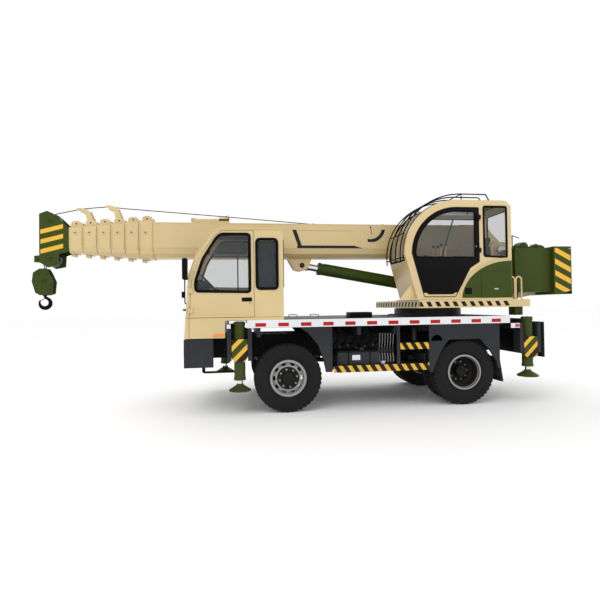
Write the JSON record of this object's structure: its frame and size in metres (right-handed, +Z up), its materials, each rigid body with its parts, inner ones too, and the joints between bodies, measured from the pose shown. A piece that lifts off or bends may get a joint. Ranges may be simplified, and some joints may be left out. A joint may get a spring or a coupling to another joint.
{
  "type": "mobile crane",
  "caption": "Two-axle truck crane with a half-width cab, slewing upper works, a telescopic boom, hook block and extending outriggers",
  "frame": {"origin": "on the ground, below the middle of the overall length and width", "axes": "X along the crane with its front at -X, Y across with the driver's side at -Y, Z up"},
  "size_m": [9.23, 2.56, 3.461],
  "materials": {
    "body_sand": "gloss",
    "body_green": "gloss",
    "chassis": "satin",
    "boom_paint": "gloss",
    "tyre": "matt",
    "rim": "satin",
    "glass": "clear",
    "trim": "matt",
    "lamp": "gloss",
    "steel": "satin",
    "rod_chrome": "polished",
    "cast": "matt"
  },
  "bodies": {
    "carrier": {"main_frame": "chassis", "deck": "chassis", "side_skirts": "chassis", "steps": "chassis", "bumper": "chassis", "lamps": "lamp", "half_cab": "body_sand", "cab_glass": "glass", "driver_station": "trim", "engine_hood": "body_sand", "outrigger_boxes": "chassis", "engine": "cast", "fuel_tank": "steel", "service_bay": "trim", "front_axle": "chassis", "rear_axle": "chassis", "slew_ring": "chassis", "mirrors": "trim"},
    "steer_left": {"knuckle_left": "cast"},
    "steer_right": {"knuckle_right": "cast"},
    "wheel_front_left": {"rim_front_left": "rim", "tyre_front_left": "tyre"},
    "wheels_rear_left": {"rims_rear_left": "rim", "tyres_rear_left": "tyre"},
    "wheel_front_right": {"rim_front_right": "rim", "tyre_front_right": "tyre"},
    "wheels_rear_right": {"rims_rear_right": "rim", "tyres_rear_right": "tyre"},
    "carrier_door": {"cab_door": "body_sand", "cab_door_glass": "glass"},
    "leg_front_left": {"beam_front_left": "body_green"},
    "foot_front_left": {"jack_front_left": "rod_chrome"},
    "leg_front_right": {"beam_front_right": "body_green"},
    "foot_front_right": {"jack_front_right": "rod_chrome"},
    "leg_rear_left": {"beam_rear_left": "body_green"},
    "foot_rear_left": {"jack_rear_left": "rod_chrome"},
    "leg_rear_right": {"beam_rear_right": "body_green"},
    "foot_rear_right": {"jack_rear_right": "rod_chrome"},
    "upper": {"turntable": "body_sand", "operator_cab": "body_sand", "operator_glass": "glass", "operator_seat": "trim", "guard_bars": "trim", "rear_housings": "body_green", "counterweight": "body_green"},
    "operator_door": {"operator_door": "body_sand", "operator_door_glass": "glass"},
    "hoist_drum": {"winch": "steel"},
    "boom": {"boom_base": "boom_paint"},
    "stage_1": {"boom_section_1": "boom_paint"},
    "stage_2": {"boom_section_2": "boom_paint"},
    "stage_3": {"boom_section_3": "boom_paint"},
    "stage_4": {"boom_section_4": "boom_paint"},
    "stage_5": {"boom_section_5": "boom_paint", "boom_head": "body_green"},
    "luff_barrel": {"luff_barrel": "body_green"},
    "luff_rod": {"luff_rod": "rod_chrome"},
    "falls": {"hoist_falls": "steel"},
    "block": {"hook_block": "body_green"},
    "hook": {"hook": "cast"}
  },
  "joints": [
    {"name": "steer_left", "type": "hinge", "parent": "carrier", "child": "steer_left", "pos_m": [-0.465, -0.82, 0.53], "axis": [0, 0, 1], "range_deg": [-35, 35]},
    {"name": "steer_right", "type": "hinge", "parent": "carrier", "child": "steer_right", "pos_m": [-0.465, 0.82, 0.53], "axis": [0, 0, 1], "range_deg": [-35, 35]},
    {"name": "spin_front_left", "type": "hinge", "parent": "steer_left", "child": "wheel_front_left", "pos_m": [-0.465, -1, 0.53], "axis": [0, 1, 0], "continuous": true},
    {"name": "spin_rear_left", "type": "hinge", "parent": "carrier", "child": "wheels_rear_left", "pos_m": [2.42, -0.86, 0.53], "axis": [0, 1, 0], "continuous": true},
    {"name": "spin_front_right", "type": "hinge", "parent": "steer_right", "child": "wheel_front_right", "pos_m": [-0.465, 1, 0.53], "axis": [0, 1, 0], "continuous": true},
    {"name": "spin_rear_right", "type": "hinge", "parent": "carrier", "child": "wheels_rear_right", "pos_m": [2.42, 0.86, 0.53], "axis": [0, 1, 0], "continuous": true},
    {"name": "carrier_door", "type": "hinge", "parent": "carrier", "child": "carrier_door", "pos_m": [-1.951, -1.165, 1.7], "axis": [0, 0, -1], "range_deg": [0, 70]},
    {"name": "leg_front_left", "type": "slide", "parent": "carrier", "child": "leg_front_left", "axis": [0, -1, 0], "range_m": [0, 1.1]},
    {"name": "foot_front_left", "type": "slide", "parent": "leg_front_left", "child": "foot_front_left", "axis": [0, 0, -1], "range_m": [0, 0.46]},
    {"name": "leg_front_right", "type": "slide", "parent": "carrier", "child": "leg_front_right", "axis": [0, 1, 0], "range_m": [0, 1.1]},
    {"name": "foot_front_right", "type": "slide", "parent": "leg_front_right", "child": "foot_front_right", "axis": [0, 0, -1], "range_m": [0, 0.46]},
    {"name": "leg_rear_left", "type": "slide", "parent": "carrier", "child": "leg_rear_left", "axis": [0, -1, 0], "range_m": [0, 1.1]},
    {"name": "foot_rear_left", "type": "slide", "parent": "leg_rear_left", "child": "foot_rear_left", "axis": [0, 0, -1], "range_m": [0, 0.46]},
    {"name": "leg_rear_right", "type": "slide", "parent": "carrier", "child": "leg_rear_right", "axis": [0, 1, 0], "range_m": [0, 1.1]},
    {"name": "foot_rear_right", "type": "slide", "parent": "leg_rear_right", "child": "foot_rear_right", "axis": [0, 0, -1], "range_m": [0, 0.46]},
    {"name": "slew", "type": "hinge", "parent": "carrier", "child": "upper", "pos_m": [2.285, 0, 1.57], "axis": [0, 0, 1], "continuous": true},
    {"name": "operator_door", "type": "hinge", "parent": "upper", "child": "operator_door", "pos_m": [2.715, -1.165, 2.6], "axis": [0, 0, 1], "range_deg": [0, 100]},
    {"name": "hoist_drum", "type": "hinge", "parent": "upper", "child": "hoist_drum", "pos_m": [4.055, 0, 2.58], "axis": [0, 1, 0], "continuous": true},
    {"name": "boom_luff", "type": "hinge", "parent": "upper", "child": "boom", "pos_m": [3.585, 0, 2.62], "axis": [0, 1, 0], "range_deg": [0, 78]},
    {"name": "stage_1", "type": "slide", "parent": "boom", "child": "stage_1", "axis": [-1, 0, 0], "range_m": [0, 4.6]},
    {"name": "stage_2", "type": "slide", "parent": "stage_1", "child": "stage_2", "axis": [-1, 0, 0], "range_m": [0, 4.6]},
    {"name": "stage_3", "type": "slide", "parent": "stage_2", "child": "stage_3", "axis": [-1, 0, 0], "range_m": [0, 4.6]},
    {"name": "stage_4", "type": "slide", "parent": "stage_3", "child": "stage_4", "axis": [-1, 0, 0], "range_m": [0, 4.6]},
    {"name": "stage_5", "type": "slide", "parent": "stage_4", "child": "stage_5", "axis": [-1, 0, 0], "range_m": [0, 4.6]},
    {"name": "luff_barrel", "type": "hinge", "parent": "upper", "child": "luff_barrel", "pos_m": [2.385, 0, 1.93], "axis": [0, 1, 0], "range_deg": [0, 82.49]},
    {"name": "luff_rod", "type": "slide", "parent": "luff_barrel", "child": "luff_rod", "axis": [-0.9844, 0, 0.1759], "range_m": [0, 1.7235]},
    {"name": "falls", "type": "hinge", "parent": "stage_5", "child": "falls", "pos_m": [-4.305, 0, 2.49], "axis": [0, 1, 0], "range_deg": [-78, 0]},
    {"name": "hoist", "type": "slide", "parent": "falls", "child": "block", "axis": [0, 0, -1], "range_m": [0, 1.362]},
    {"name": "hook_swivel", "type": "hinge", "parent": "block", "child": "hook", "pos_m": [-4.44, 0, 1.757], "axis": [0, 0, 1], "continuous": true}
  ],
  "couplings": [
    {"joint": "steer_right", "follows": "steer_left", "ratio": 1},
    {"joint": "stage_2", "follows": "stage_1", "ratio": 1},
    {"joint": "stage_3", "follows": "stage_1", "ratio": 1},
    {"joint": "stage_4", "follows": "stage_1", "ratio": 1},
    {"joint": "stage_5", "follows": "stage_1", "ratio": 1},
    {"joint": "luff_barrel", "follows": "boom_luff", "ratio": 1.0575},
    {"joint": "luff_rod", "follows": "boom_luff", "m_per_rad": 1.266},
    {"joint": "falls", "follows": "boom_luff", "ratio": -1},
    {"joint": "hoist", "follows": "boom_luff", "m_per_rad": 1}
  ]
}
